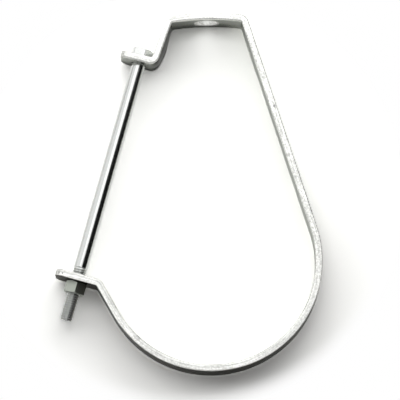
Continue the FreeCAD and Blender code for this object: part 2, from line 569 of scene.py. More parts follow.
@dataclass(frozen=True)
class StrapPlate(ZincPlate):
    """Zinc plate on hot-rolled strap, dull and speckled on its edges and darker on its rolled faces, with
    painted shade, sheen and highlight streaks in places.

    Heights count from the middle of the thickness towards the outer face, and distances along the strap
    from the upper ear's end. A span holds where a blend starts and where it is full. A level is the share
    of the brightness that a dark detail leaves. On the leg, leg_line fades the line on the edge and
    leg_brink deepens its outer brink.
    """

    grain_roughness: float = 0.2
    grazing: float = 0.36
    edge_colour: Triple = (0.84, 0.845, 0.815)
    edge_roughness: float = 0.52
    # Painted shade and dark reflection: the outer face turns nearly black over the arc.
    outer_shade_colour: Triple = (0.08, 0.072, 0.062)
    outer_shade_from: Span = (180 * MM, 300 * MM)
    outer_shade_height: Span = (-0.2 * MM, 0.2 * MM)
    face_at: float = 2.38125 * MM
    loop_border: Span = (0.04 * MM, 0.16 * MM)
    outer_border: Span = (0.02 * MM, 0.1 * MM)
    lap_at: Span = (11.6 * MM, 11.9 * MM)
    outer_lap_at: Span = (11.9 * MM, 12.2 * MM)
    leg_starts: Span = (88 * MM, 108 * MM)
    leg_ends: Span = (260 * MM, 320 * MM)
    # Painted sheen that lightens the faces above the arc, and the leg's faces more.
    leg_painted_sheen: float = 0.12
    upper_painted_sheen: float = 0.25
    # Painted shade on the rounded, rolled half of the edges over the arc.
    rolled_shade_fade: float = 0.1 * MM
    rolled_shade_level: float = 0.76
    line_at: float = -0.1 * MM
    line_width: Span = (0.05 * MM, 0.22 * MM)
    line_level: float = 0.7
    leg_line: float = 0.5
    leg_level: float = 0.95
    brink_at: Span = (1.75 * MM, 1.95 * MM)
    brink_level: float = 0.78
    leg_brink: float = 0.4
    hole_level: float = 0.7
    # Painted shade over the upper loop face, deepening towards its far corner.
    corner_shade_at: Span = (-6 * MM, 11.2 * MM)
    corner_shade_height: Span = (0.3 * MM, 1.1 * MM)
    corner_shade_level: float = 0.25
    specks_per_metre: float = 900.0
    speck_detail: float = 3.0
    speck_span: Span = (0.3, 0.7)
    leg_specks: float = 1.5
    drawn: Streaks = Streaks(700.0, 2.0, (0.42, 0.58), 0.45, 0.25)
    # Painted highlight and dark reflection streaks on the upper bend.
    bend_sheen: Streaks = Streaks(210.0, 1.0, (0.46, 0.56), 0.55, 1.7)
    bend_sheen_starts: Span = (20 * MM, 25 * MM)
    bend_sheen_ends: Span = (47 * MM, 52 * MM)
    tooled_polish: float = 0.12
    # Painted shade along the near side of the upper bend's faces.
    near_shade_line: Span = (8.5 * MM, 9.5 * MM)
    near_shade_depth: float = 0.8
    dark_patches: tuple[DarkPatch, ...] = (
        DarkPatch(1.6 * MM, -12.7 * MM, -0.3 * MM, 2.3 * MM, 0.35),
        DarkPatch(527.9 * MM, -12.7 * MM, 0.2 * MM, 2.3 * MM, 0.4),
        DarkPatch(524.4 * MM, -12.7 * MM, 0.3 * MM, 0.75 * MM, 0.85),
        DarkPatch(170.0 * MM, -12.7 * MM, 0.8 * MM, 1.6 * MM, 0.3),
        DarkPatch(205.0 * MM, -12.7 * MM, -0.6 * MM, 1.8 * MM, 0.25),
        DarkPatch(452.0 * MM, -12.7 * MM, -1.0 * MM, 3.0 * MM, 0.22),
    )

    def zones(self, tree: Tree) -> StrapZones:
        """Adds the nodes that tell the strap's regions apart.

        Args:
            tree: The material's tree.

        Returns:
            The place in the flat blank and the masks of the regions.
        """
        flat = tree.node("ShaderNodeAttribute", {"attribute_name": FLAT}).outputs["Vector"]
        along, across, height = tree.parts(flat)
        loop_edge = (height + self.face_at).ramp(*self.loop_border)
        outer_edge = (self.face_at - height).ramp(*self.outer_border)
        outer_lap = abs(across).ramp(*self.outer_lap_at)
        arc = along.ramp(*self.leg_ends)
        return StrapZones(
            flat=flat,
            along=along,
            across=across,
            height=height,
            edge=loop_edge * outer_edge.larger(outer_lap),
            lap=abs(across).ramp(*self.lap_at),
            leg=along.ramp(*self.leg_starts) * (1 - arc),
            arc=arc,
        )

    def edge_darkness(self, at: StrapZones) -> Wire:
        """Darkness of the edges: painted shade on their rolled half over the arc, and the line beside it, the
        outer brink and the holes' walls.

        Args:
            at: The strap's regions.

        Returns:
            The share of the brightness that is lost.
        """
        from_line = at.height - self.line_at
        # Painted shade: the rolled half of the edges is darker over the arc.
        below = 1 - from_line.ramp(-self.rolled_shade_fade, self.rolled_shade_fade)
        rolled = below * at.lap * at.arc * (1 - self.rolled_shade_level)
        line = (1 - abs(from_line).ramp(*self.line_width)) * at.lap * (1 - self.line_level)
        line = line * (1 - at.leg * self.leg_line) + at.leg * at.lap * (1 - self.leg_level)
        brink = at.height.ramp(*self.brink_at) * at.lap * (1 - self.brink_level + at.leg * self.leg_brink)
        hole = at.edge * (1 - at.lap) * (1 - self.hole_level)
        return rolled.larger(line) + brink + hole

    def corner(self, at: StrapZones) -> Wire:
        """Brightness left by the painted shade towards the far corner of the upper loop face.

        Args:
            at: The strap's regions.

        Returns:
            The share of the brightness that is left.
        """
        loop_face = 1 - (at.height + self.face_at).ramp(*self.corner_shade_height)
        corner = at.across.ramp(*self.corner_shade_at) * loop_face * (1 - at.leg) * (1 - at.arc)
        return 1 - corner * (1 - self.corner_shade_level)

    def brightness(self, tree: Tree, at: StrapZones, bend_sheen: Wire) -> Wire:
        """Streaks of the rolled faces, painted highlight streaks and painted shade on the upper bend, and
        painted sheen on the faces above the arc and more on the leg.

        Args:
            tree: The material's tree.
            at: The strap's regions.
            bend_sheen: Mask of the upper bend's faces.

        Returns:
            The brightness that is added or taken away.
        """
        streaks = self.drawn.shade(tree, at.flat) + self.bend_sheen.shade(tree, at.flat) * bend_sheen
        # Painted shade along the near side of the upper bend.
        near_shade_line = (-at.across).ramp(*self.near_shade_line) * bend_sheen * self.near_shade_depth
        # Painted sheen on the faces above the arc and on the leg.
        painted_sheen = ((1 - at.arc) * self.upper_painted_sheen + at.leg * self.leg_painted_sheen) * (1 - at.edge)
        return streaks - near_shade_line + painted_sheen

    def spots(self, tree: Tree, at: StrapZones) -> Wire:
        """Specks of the edges, and the darker patches.

        Args:
            tree: The material's tree.
            at: The strap's regions.

        Returns:
            The brightness that is added or taken away.
        """
        specks = tree.noise(at.flat, self.specks_per_metre, self.speck_detail)
        contrast = at.edge * (1 + at.leg * (self.leg_specks - 1)) * self.speckle
        spots = (specks.ramp(*self.speck_span) - 0.5) * contrast
        for patch in self.dark_patches:
            spots = spots - patch.darkness(tree, at.flat, specks)
        return spots

    def surface(self, tree: Tree) -> dict[str, object]:
        """Blends the rolled faces into the edges by the place in the flat blank.

        Args:
            tree: The material's tree.

        Returns:
            The shader's inputs by name, and the "Height" that bumps it.
        """
        at = self.zones(tree)
        fine = tree.noise(at.flat, self.grain, self.grain_detail)
        # Mask of the upper bend's faces, which carry the painted highlight and reflection streaks.
        bend_sheen = at.along.ramp(*self.bend_sheen_starts) * (1 - at.along.ramp(*self.bend_sheen_ends)) * (1 - at.edge)
        # Painted shade on the outer face over the arc.
        outer = at.height.ramp(*self.outer_shade_height) * at.along.ramp(*self.outer_shade_from)
        faces = tree.mix(outer, (*self.colour, 1.0), (*self.outer_shade_colour, 1.0))
        plain = tree.mix(at.edge, faces, (*self.edge_colour, 1.0))
        mottled = 1 + self.spots(tree, at) + self.brightness(tree, at, bend_sheen)
        # The last factor is the painted shade towards the far corner of the upper loop face.
        shade = mottled * (1 - self.edge_darkness(at)) * self.corner(at)
        level = tree.node("ShaderNodeCombineColor", {}, dict.fromkeys(("Red", "Green", "Blue"), shade))
        rough = self.roughness + at.edge * (self.edge_roughness - self.roughness)
        return {
            "Base Color": tree.mix(1.0, plain, level.outputs[0], "MULTIPLY"),
            "Specular Tint": (self.grazing, self.grazing, self.grazing, 1.0),
            "Roughness": rough + (fine - 0.5) * self.grain_roughness - bend_sheen * self.tooled_polish,
            "Height": fine,
        }


@dataclass(frozen=True)
class Bend:
    """A round stretch of the strap's middle line. Travel runs from the upper ear to the lower one."""

    centre: Vector
    radius: float
    start: float
    end: float

    def side(self) -> float:
        """Angle from the travel's heading to the outward radius."""
        return math.pi / 2 if self.end < self.start else -math.pi / 2

    def at(self, angle: float) -> Vector:
        """Point on the bend where the travel has that heading."""
        return self.centre + heading(angle + self.side()) * self.radius

    def points(self, step: float) -> list[Vector]:
        """Points round the bend, about one step of angle apart."""
        count = max(2, math.ceil(abs(self.end - self.start) / step))
        return [self.at(self.start + (self.end - self.start) * i / count) for i in range(count + 1)]


@dataclass
class HangerStrap:
    """The formed strap: a punched blank with rounded ears and rolled edges, bent along its path."""

    thickness: float = record_mount("rod_hole")["dims"]["length_mm"] * MM
    width: float = 25.4 * MM
    rolled_edge: float = 1.5 * MM
    sheared_edge: float = 0.3 * MM
    punch_flare: float = 0.25 * MM
    ear_corner: float = 6.0 * MM
    inside_bend: float = 1.5 * MM
    rod_hole_radius: float = record_mount("rod_hole")["dims"]["r_mm"] * MM
    bolt_hole_radius: float = 5.55625 * MM
    crown_radius: float = 180.0 * MM
    crown_left: float = 22.9 * MM
    crown_right: float = 23.05 * MM
    seat_radius: float = record_mount("pipe_seat")["dims"]["r_mm"] * MM
    arm_lean: float = math.radians(28.5)
    head_seat_drop: float = 37.95 * MM
    head_room: float = 8.325 * MM
    bend_to_bolt: float = 14.43 * MM
    upper_reach: float = 13.4 * MM
    lower_reach: float = 15.2 * MM
    skewed: Span = (21 * MM, 50 * MM)
    skew: Triple = (2.1 * MM, 0.0, 1.5 * MM)
    cells_across: int = 8
    ear_steps: int = 8
    ear_clearance: float = 1.05
    rolled_steps: int = 6
    sheared_steps: int = 3
    hole_points: int = 96
    tight_below: float = 10 * MM
    tight_step: float = math.radians(7.5)
    wide_step: float = 1.5 * MM
    finish: ZincPlate = StrapPlate("strap_zinc", (0.48, 0.495, 0.46), 0.26, speckle=0.3, grain=2600.0)
    grip: float = field(init=False)
    line: list[Vector] = field(init=False)
    stations: list[float] = field(init=False)
    rod_hole_at: float = field(init=False)

    def __post_init__(self) -> None:
        """Works out the middle line of the strap from its sizes."""
        half = self.thickness / 2
        lean = math.atan2(BOLT_AXIS.up.x, BOLT_AXIS.up.z)
        pipe_centre = Vector(record_mount("pipe_seat")["pos_m"])
        crown_centre = Vector((0, 0, -half - self.crown_radius))
        crown_in = math.asin(self.crown_left / self.crown_radius)
        crown_out = -math.asin(self.crown_right / self.crown_radius)
        to_bend = self.crown_radius - self.inside_bend
        left = crown_centre + heading(math.pi / 2 + crown_in) * to_bend
        right = crown_centre + heading(math.pi / 2 + crown_out) * to_bend
        span = pipe_centre - right
        leg = math.atan2(span.z, span.x) + math.asin((self.seat_radius - self.inside_bend) / span.length)
        arm = math.pi / 2 + self.arm_lean - 2 * math.pi
        lower_corner = BOLT_AXIS.seat + BOLT_AXIS.right * self.bend_to_bolt
        self.grip = -self.head_seat_drop - BOLT_AXIS.up.dot(BOLT_AXIS.seat)
        head_seat = BOLT_AXIS.seat + BOLT_AXIS.up * self.grip
        upper_corner = head_seat + BOLT_AXIS.right * self.head_room
        rise = left - upper_corner
        drop = math.atan2(rise.z, rise.x) + math.asin((self.inside_bend + self.thickness) / rise.length)
        tight = self.inside_bend + half
        crown = Bend(crown_centre, self.crown_radius + half, crown_in, crown_out)
        bends = [
            self.ear_bend(upper_corner, -lean, drop),
            Bend(left, tight, drop, crown_in),
            crown,
            Bend(right, tight, crown_out, leg),
            Bend(pipe_centre, self.seat_radius + half, leg, arm),
            self.ear_bend(lower_corner, arm, -math.pi - lean),
        ]
        first = head_seat - BOLT_AXIS.right * self.upper_reach - BOLT_AXIS.up * half
        last = BOLT_AXIS.seat - BOLT_AXIS.right * self.lower_reach + BOLT_AXIS.up * half
        self.line = self.middle_line(bends, first, last)
        self.stations = [0.0]
        for start, end in zip(self.line, self.line[1:]):
            self.stations.append(self.stations[-1] + (end - start).length)
        crown_start = crown.at(crown_in)
        nearest = min(range(len(self.line)), key=lambda i: (self.line[i] - crown_start).length)
        self.rod_hole_at = self.stations[nearest] + crown.radius * crown_in

    def ear_bend(self, corner: Vector, start: float, end: float) -> Bend:
        """Left bend at an ear.

        Args:
            corner: The sharp corner that its outer faces would make.
            start: Heading of the travel before it.
            end: Heading of the travel after it.

        Returns:
            The bend of the middle line.
        """
        setback = self.inside_bend * math.tan((end - start) / 2)
        centre = corner - heading(start) * setback + heading(start + math.pi / 2) * self.inside_bend
        return Bend(centre, self.inside_bend + self.thickness / 2, start, end)

    def middle_line(self, bends: Sequence[Bend], first: Vector, last: Vector) -> list[Vector]:
        """Points along the strap's middle line, close together in the bends and the crown.

        Args:
            bends: The bends, in order of travel.
            first: Middle of the upper ear's end.
            last: Middle of the lower ear's end.

        Returns:
            The points, in order of travel.
        """
        line = [first]
        for bend in bends:
            line.extend(straight_run(line[-1], bend.at(bend.start)))
            step = self.tight_step if bend.radius < self.tight_below else self.wide_step / bend.radius
            line.extend(bend.points(step)[1:])
        line.extend(straight_run(line[-1], last))
        return line

    def rim(self) -> list[Point]:
        """Profile of the blank's edge, rolled towards the loop face and sheared towards the outer one.

        Returns:
            (inset, height) of each point, from the loop face to the outer face.
        """
        half = self.thickness / 2
        rolled = [(self.rolled_edge * (1 - math.sin(t)), self.rolled_edge * (1 - math.cos(t)) - half)
                  for t in quarter_turn(self.rolled_steps)]
        sheared = [(self.sheared_edge * (1 - math.cos(t)), half - self.sheared_edge * (1 - math.sin(t)))
                   for t in quarter_turn(self.sheared_steps)]
        return [*rolled, (0, 0), *sheared]

    def border(self) -> tuple[list[tuple[float, ...]], int]:
        """Outline of the flat blank, with the outward direction at each point.

        Returns:
            (along, across, outward along, outward across) of each point, counterclockwise from the
            upper ear's near corner, and the number of rows that cross the blank.
        """
        length = self.stations[-1]
        corner = self.ear_corner
        reach = self.width / 2
        ear = [(corner * (1 - math.cos(t)), reach - corner * (1 - math.sin(t)), -math.cos(t), math.sin(t))
               for t in quarter_turn(self.ear_steps)]
        clear = self.ear_clearance * corner
        rows = ear + [(s, reach, 0.0, 1.0) for s in self.stations if clear < s < length - clear]
        rows += [(length - s, y, -ns, ny) for s, y, ns, ny in reversed(ear)]
        end = reach - corner
        shares = [2 * i / self.cells_across - 1 for i in range(1, self.cells_across)]
        border = [(s, -y, ns, -ny) for s, y, ns, ny in rows]
        border += [(length, end * share, 1.0, 0.0) for share in shares]
        border += reversed(rows)
        border += [(0.0, -end * share, -1.0, 0.0) for share in shares]
        return border, len(rows)

    def grid(self, points: list[Vector], ring: int, count: int, rows: int) -> list[list[int]]:
        """Lays rows of points over a broad face, across the strap.

        Args:
            points: The blank's points, to which the inner ones are added.
            ring: Number of the first point of the face's border.
            count: The number of points in the border.
            rows: The number of rows that cross the blank.

        Returns:
            The point numbers of each row, from the near edge to the far one.
        """
        steps = range(1, self.cells_across)
        grid = []
        for i in range(rows):
            near = ring + i
            far = ring + 2 * rows + self.cells_across - 2 - i
            if i == 0:
                inner = [ring + count - k for k in steps]
            elif i == rows - 1:
                inner = [near + k for k in steps]
            else:
                inner = list(range(len(points), len(points) + len(steps)))
                points += [points[near].lerp(points[far], k / self.cells_across) for k in steps]
            grid.append([near, *inner, far])
        return grid

    def blank(self) -> bpy.types.Object:
        """The flat blank: X along the strap, Y across it and Z towards its outer face.

        Returns:
            A closed mesh whose rows across the strap stand at the stations of the middle line.
        """
        border, rows = self.border()
        profile = self.rim()
        count = len(border)
        points = [Vector((s - inset * ns, y - inset * ny, height))
                  for inset, height in profile for s, y, ns, ny in border]
        faces = band_faces(count, len(profile))
        for side in Side:
            ring = 0 if side is Side.LOOP else (len(profile) - 1) * count
            grid = self.grid(points, ring, count, rows)
            for row, following in zip(grid, grid[1:]):
                for k in range(self.cells_across):
                    face = (row[k], following[k], following[k + 1], row[k + 1])
                    faces.append(face[::-1] if side is Side.LOOP else face)
        return mesh_object("strap_blank", points, faces)

    def punch(self, along: float, radius: float) -> bpy.types.Object:
        """Cutter for a hole through the flat blank, flared where the punch breaks its edges.

        Args:
            along: Place of the hole along the strap.
            radius: Radius of the hole between its flares.

        Returns:
            The cutter, which reaches beyond both faces.
        """
        half = self.thickness / 2
        flare = self.punch_flare
        beyond = 2 * flare
        wide = radius + flare + beyond
        end = half + beyond
        levels = [(wide, -end), (radius, -half + flare), (radius, half - flare), (wide, end)]
        cutter = ringed("punch", [circle(r, z, self.hole_points) for r, z in levels])
        cutter.data.transform(Matrix.Translation((along, 0, 0)))
        return cutter

    def path_curve(self) -> bpy.types.Object:
        """The middle line as a curve for the bending tree.

        Returns:
            The curve object.
        """
        curve = bpy.data.curves.new("strap_path", "CURVE")
        curve.dimensions = "3D"
        spline = curve.splines.new("POLY")
        spline.points.add(len(self.line) - 1)
        for point, place in zip(spline.points, self.line):
            point.co = (*place, 1)
        path = bpy.data.objects.new("strap_path", curve)
        bpy.context.scene.collection.objects.link(path)
        return path

    @staticmethod
    def bending_tree(peak: float = 0.4) -> bpy.types.NodeTree:
        """Geometry nodes that lay a flat blank along a path and keep its flat position as an attribute.

        Between two stations the far edge is pushed aside by the skew, and the near edge stays.

        Args:
            peak: Share of the way between the stations where the push is full.

        Returns:
            A tree with the inputs Geometry, Path, Width, Skew, Skew Start, Skew End and Material.
        """
        group = node_group("bend_along_path", {
            "Path": "NodeSocketObject", "Width": "NodeSocketFloat", "Skew": "NodeSocketVector",
            "Skew Start": "NodeSocketFloat", "Skew End": "NodeSocketFloat", "Material": "NodeSocketMaterial",
        })
        tree = Tree(group)
        given = tree.node("NodeGroupInput").outputs
        width, start, end = (Wire(tree, given[name]) for name in ("Width", "Skew Start", "Skew End"))
        path = tree.node("GeometryNodeObjectInfo", {"transform_space": "RELATIVE"}, {"Object": given["Path"]})
        position = tree.node("GeometryNodeInputPosition").outputs[0]
        kept = tree.node(
            "GeometryNodeStoreNamedAttribute",
            {"data_type": "FLOAT_VECTOR", "domain": "POINT"},
            {"Geometry": given["Geometry"], "Name": FLAT, "Value": position},
        )
        flat = tree.node("GeometryNodeInputNamedAttribute", {"data_type": "FLOAT_VECTOR"}, {"Name": FLAT})
        along, across, height = tree.parts(flat.outputs["Attribute"])
        sample = tree.node(
            "GeometryNodeSampleCurve",
            {"mode": "LENGTH", "use_all_curves": True},
            {"Curves": path.outputs["Geometry"], "Length": along},
        )
        outwards = tree.vector("CROSS_PRODUCT", sample.outputs["Tangent"], tuple(Y_AXIS))
        sideways = tree.node("ShaderNodeCombineXYZ", {}, {"Y": across}).outputs[0]
        offset = tree.vector("ADD", tree.scaled(outwards, height), sideways)
        share = (along - start) / (end - start)
        bump = share.ramp(0.0, peak) * (1 - share.ramp(peak, 1.0))
        aside = tree.scaled(given["Skew"], bump * (across / width + 0.5))
        place = tree.vector("ADD", tree.vector("ADD", sample.outputs["Position"], offset), aside)
        bent = tree.node("GeometryNodeSetPosition", {}, {"Geometry": kept.outputs[0], "Position": place})
        tree.dress(bent.outputs[0], given["Material"])
        return group

    def build(self) -> bpy.types.Object:
        """Makes the blank, punches it, bends it and dresses it.

        Returns:
            The finished strap, riding on the strap's body.
        """
        blank = self.blank()
        holes = [
            self.punch(self.upper_reach, self.bolt_hole_radius),
            self.punch(self.rod_hole_at, self.rod_hole_radius),
            self.punch(self.stations[-1] - self.lower_reach, self.bolt_hole_radius),
        ]
        for hole in holes:
            cut = blank.modifiers.new("punch", "BOOLEAN")
            cut.operation = "DIFFERENCE"
            cut.solver = "EXACT"
            cut.object = hole
        path = self.path_curve()
        add_tree(blank, self.bending_tree(), {
            "Path": path, "Width": self.width, "Skew": self.skew, "Skew Start": self.skewed[0],
            "Skew End": self.skewed[1], "Material": self.finish.material(),
        })
        strap = baked(blank, "strap_body")
        for helper in (*holes, path):
            bpy.data.objects.remove(helper)
        crisp(strap)
        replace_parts(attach(strap, "strap"), "hanger_strap")
        return strap


@dataclass(frozen=True)
class ScrewThread:
    """A right-hand 60 degree thread of coarse inch form, measured from the nut's seat up the bolt.

    The flat of its root reaches root_half to each side and each flank takes flank, in shares of the pitch.
    """

    pitch: float = 1.5875 * MM
    depth: float = 0.9 * MM
    radius: float = 9.525 / 2 * MM
    root_half: float = 0.125
    flank: float = 0.3125
    rings_per_pitch: int = 14
    # Depth of the painted shade in the grooves.
    groove_shade: float = 0.35

    def heights(self, low: float, high: float) -> list[float]:
        """Ring heights close enough together to carry the thread."""
        count = math.ceil((high - low) / self.pitch * self.rings_per_pitch)
        return [low + (high - low) * i / count for i in range(count + 1)]

    def apply(self, blank: bpy.types.Object, clearance: float, low: float, high: float, fade: Span,
              mouth: float, inside: bool, material: bpy.types.Material) -> None:
        """Adds the tree that cuts the thread into the blank's threaded points.

        Args:
            blank: The piece, standing on the bolt's axis as Z.
            clearance: Extra radius all round.
            low: Height of the lower end.
            high: Height of the upper end.
            fade: Heights between which the groove runs out.
            mouth: Radius at the chamfered ends.
            inside: True for a nut.
            material: The finish of the piece.
        """
        add_tree(blank, self.tree(), {
            "Radius": self.radius + clearance, "Pitch": self.pitch, "Depth": self.depth,
            "Low": low, "High": high, "Fade Start": fade[0], "Fade End": fade[1],
            "Mouth": mouth, "Dirt": self.groove_shade, "Inside": inside, "Material": material,
        })

    def tree(self) -> bpy.types.NodeTree:
        """Geometry nodes that turn a dense ringed cylinder into a screw thread and store the painted shade of
        its grooves.

        Returns:
            A tree with an input for each size, for the painted shade of the grooves, for the kind of thread and
            for the material.
        """
        names = ("Radius", "Pitch", "Depth", "Low", "High", "Fade Start", "Fade End", "Mouth", "Dirt")
        group = node_group("screw_thread", {
            **dict.fromkeys(names, "NodeSocketFloat"),
            "Inside": "NodeSocketBool",
            "Material": "NodeSocketMaterial",
        })
        tree = Tree(group)
        given = tree.node("NodeGroupInput").outputs
        radius, pitch, depth, low, high, fade_start, fade_end, mouth, groove_shade = (
            Wire(tree, given[name]) for name in names
        )
        x, y, z = tree.parts(tree.node("GeometryNodeInputPosition").outputs[0])
        turn = y.math("ARCTAN2", x) / (2 * math.pi)
        from_root = abs((z / pitch - turn).math("FRACT") - 0.5)
        groove = 1 - ((from_root - self.root_half) / self.flank).clamped()
        fade = 1 - ((z - fade_start) / (fade_end - fade_start)).clamped()
        thread = radius - depth * groove * fade
        bolt = thread.math("MINIMUM", mouth + z - low)
        nut = thread.larger(mouth - z + low).larger(mouth + z - high)
        cut_to = tree.wire("GeometryNodeSwitch", 0, {"input_type": "FLOAT"}, {
            "Switch": given["Inside"], "False": bolt, "True": nut,
        })
        share = cut_to / radius
        moved = tree.node("ShaderNodeCombineXYZ", {}, {"X": x * share, "Y": y * share, "Z": z})
        flag = tree.node("GeometryNodeInputNamedAttribute", {"data_type": "BOOLEAN"}, {"Name": THREADED})
        threaded = flag.outputs["Attribute"]
        # Painted shade, stored on the threaded points: deepest at the roots, fading out with the thread.
        kept = tree.node("GeometryNodeStoreNamedAttribute", {"data_type": "FLOAT", "domain": "POINT"}, {
            "Geometry": given["Geometry"], "Selection": threaded, "Name": GROOVE_SHADE,
            "Value": groove * groove * fade * groove_shade,
        })
        cut = tree.node("GeometryNodeSetPosition", {}, {
            "Geometry": kept.outputs[0], "Selection": threaded, "Position": moved.outputs[0],
        })
        tree.dress(cut.outputs[0], given["Material"])
        return group


@dataclass(frozen=True)
class Hexagon:
    """Outline of a hexagon with slightly rounded corners, and of the cone that chamfers them."""

    corner_turn: float
    across_flats: float = 13.9 * MM
    face_share: float = 0.95
    chamfer: float = math.radians(30)
    corner_radius: float = 0.4 * MM
    corner_points: int = 5
    side_points: int = 16

    @property
    def face_radius(self) -> float:
        """Radius of the flat face inside the chamfer."""
        return self.face_share * self.across_flats / 2

    @property
    def count(self) -> int:
        """Number of points in the outline."""
        return 6 * self.side_points

    def outline(self) -> list[Point]:
        """Lays the points round the hexagon.

        Returns:
            The points, counterclockwise from the one nearest to +X.
        """
        centre = (self.across_flats / 2 - self.corner_radius) / math.cos(math.pi / 6)
        side_turn = Matrix.Rotation(math.pi / 3, 2)
        points = []
        for step in range(6):
            middle = -math.pi / 2 + self.corner_turn + step * math.pi / 3
            corner = []
            for i in range(self.corner_points):
                turn = middle + math.pi / 3 * (i / (self.corner_points - 1) - 0.5)
                corner.append(Vector((
                    centre * math.cos(middle) + self.corner_radius * math.cos(turn),
                    centre * math.sin(middle) + self.corner_radius * math.sin(turn),
                )))
            following = side_turn @ corner[0]
            spans = self.side_points - self.corner_points + 1
            points += corner + [corner[-1].lerp(following, k / spans) for k in range(1, spans)]
        first = min(range(len(points)), key=lambda i: abs(math.atan2(points[i].y, points[i].x)))
        return [tuple(point) for point in points[first:] + points[:first]]

    def ring(self, face: float, drop: float) -> list[Vector]:
        """The outline at a face, set back by the chamfer where it stands outside the face's circle.

        Args:
            face: Height of the face.
            drop: Minus one to set it back downwards, plus one upwards, zero for a level ring.

        Returns:
            The ring's points.
        """
        slope = math.tan(self.chamfer)
        return [Vector((x, y, face + drop * (math.hypot(x, y) - self.face_radius) * slope))
                for x, y in self.outline()]


@dataclass
class SideBolt:
    """The long hexagon bolt that closes the hanger."""

    grip: float
    thread: ScrewThread = ScrewThread()
    head: Hexagon = Hexagon(math.radians(17.3))
    head_height: float = 6.17 * MM
    washer_face: float = 0.4 * MM
    face_break: float = 0.1 * MM
    inner_ring_share: float = 0.5
    below_nut: float = 19.54 * MM
    nut_height: float = 8.2 * MM
    point_chamfer: float = 0.9 * MM
    run_out: Span = (6.5 * MM, 10.8 * MM)
    past_run_out: float = 1 * MM
    shank_step: float = 12 * MM
    finish: ZincPlate = ZincPlate("bolt_zinc", (0.50, 0.51, 0.50), 0.15)

    def build(self) -> bpy.types.Object:
        """Turns the blank, cuts the thread and stands it in the ears.

        Returns:
            The bolt, riding on the bolt's body.
        """
        radius = self.thread.radius
        count = self.head.count
        low = -self.nut_height - self.below_nut
        threaded = self.thread.heights(low, self.run_out[1] + self.past_run_out)
        shank = straight_run(Vector((0, 0, threaded[-1])), Vector((0, 0, self.grip)), self.shank_step)
        face = self.head.face_radius
        base = self.grip + self.washer_face
        top = self.grip + self.head_height
        rings = [circle(radius, z, count) for z in threaded + [point.z for point in shank]]
        rings.append(circle(face - self.face_break, self.grip, count))
        rings.append(circle(face, self.grip + self.face_break, count))
        rings += [circle(face, base, count), self.head.ring(base, 0), self.head.ring(top, -1)]
        rings += [circle(face, top, count), circle(face * self.inner_ring_share, top, count)]
        blank = ringed("bolt_blank", rings)
        flag_points(blank, THREADED, 0, len(threaded) * count)
        crisp(blank)
        mouth = radius - self.point_chamfer
        self.thread.apply(blank, 0.0, low, threaded[-1], self.run_out, mouth, False, self.finish.material())
        bolt = baked(blank, "bolt_body")
        bolt.data.transform(BOLT_AXIS.matrix())
        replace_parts(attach(bolt, "bolt"), "side_bolt")
        return bolt


@dataclass
class HexNut:
    """The hexagon nut under the lower ear."""

    thread: ScrewThread = ScrewThread()
    body: Hexagon = Hexagon(math.radians(7.0))
    height: float = 8.2 * MM
    clearance: float = 0.05 * MM
    mouth_chamfer: float = 0.6 * MM
    no_run_out: Span = (1.0, 2.0)
    finish: ZincPlate = ZincPlate("nut_zinc", (0.31, 0.33, 0.295), 0.36)

    def build(self) -> bpy.types.Object:
        """Makes the hollow blank, cuts the thread in its bore and seats it under the ear.

        Returns:
            The nut, riding on the nut's body.
        """
        count = self.body.count
        bore = self.thread.radius + self.clearance
        mouth = bore + self.mouth_chamfer
        face = self.body.face_radius
        low = -self.height
        outside = [circle(face, low, count), self.body.ring(low, 1)]
        outside += [self.body.ring(0, -1), circle(face, 0, count)]
        inside = [circle(bore, z, count) for z in reversed(self.thread.heights(low, 0))]
        blank = ringed("nut_blank", outside + inside, hollow=True)
        flag_points(blank, THREADED, len(outside) * count, len(outside + inside) * count)
        crisp(blank)
        self.thread.apply(
            blank, self.clearance, low, 0.0, self.no_run_out, mouth, True, self.finish.material()
        )
        nut = baked(blank, "nut_body")
        nut.data.transform(BOLT_AXIS.matrix())
        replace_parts(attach(nut, "nut"), "hex_nut")
        return nut


@dataclass(frozen=True)
class Panel:
    """A flat rectangle that faces the hanger. Its angles are degrees from -Y, to the right and upwards."""

    name: str
    right: Span
    up: Span
    distance: float = 1.4

    def size(self) -> Point:
        """Works out the panel's size from its angles.

        Returns:
            Its width and height.
        """
        wide, tall = (math.radians(span[1] - span[0]) / 2 for span in (self.right, self.up))
        level = math.cos(math.radians(sum(self.up) / 2))
        return 2 * self.distance * math.tan(wide) * level, 2 * self.distance * math.tan(tall)

    def stand(self, target: Vector) -> Matrix:
        """Works out where the panel stands.

        Args:
            target: The point that it faces.

        Returns:
            The place of its middle, with Z pointing away from the target.
        """
        right, up = (math.radians(sum(span) / 2) for span in (self.right, self.up))
        away = Vector((math.sin(right) * math.cos(up), -math.cos(right) * math.cos(up), math.sin(up)))
        turn = away.to_track_quat("Z", "Y").to_matrix().to_4x4()
        return Matrix.Translation(target + away * self.distance) @ turn


@dataclass(frozen=True)
class BlackCard(Panel):
    """A black card that only reflections show."""

    level: float = 0.01

    def build(self, target: Vector) -> None:
        """Adds the card, unseen by the camera.

        Args:
            target: The point that it faces.
        """
        width, height = self.size()
        place = self.stand(target)
        signs = ((-1, -1), (1, -1), (1, 1), (-1, 1))
        corners = [place @ Vector((x * width / 2, y * height / 2, 0)) for x, y in signs]
        card = mesh_object(self.name, corners, [(3, 2, 1, 0)])
        card.visible_camera = False
        material, tree = new_material(self.name)
        colour = (self.level, self.level, self.level, 1.0)
        black = tree.node("ShaderNodeBsdfDiffuse", {}, {"Color": colour})
        tree.node("ShaderNodeOutputMaterial", {}, {"Surface": black.outputs[0]})
        card.data.materials.append(material)


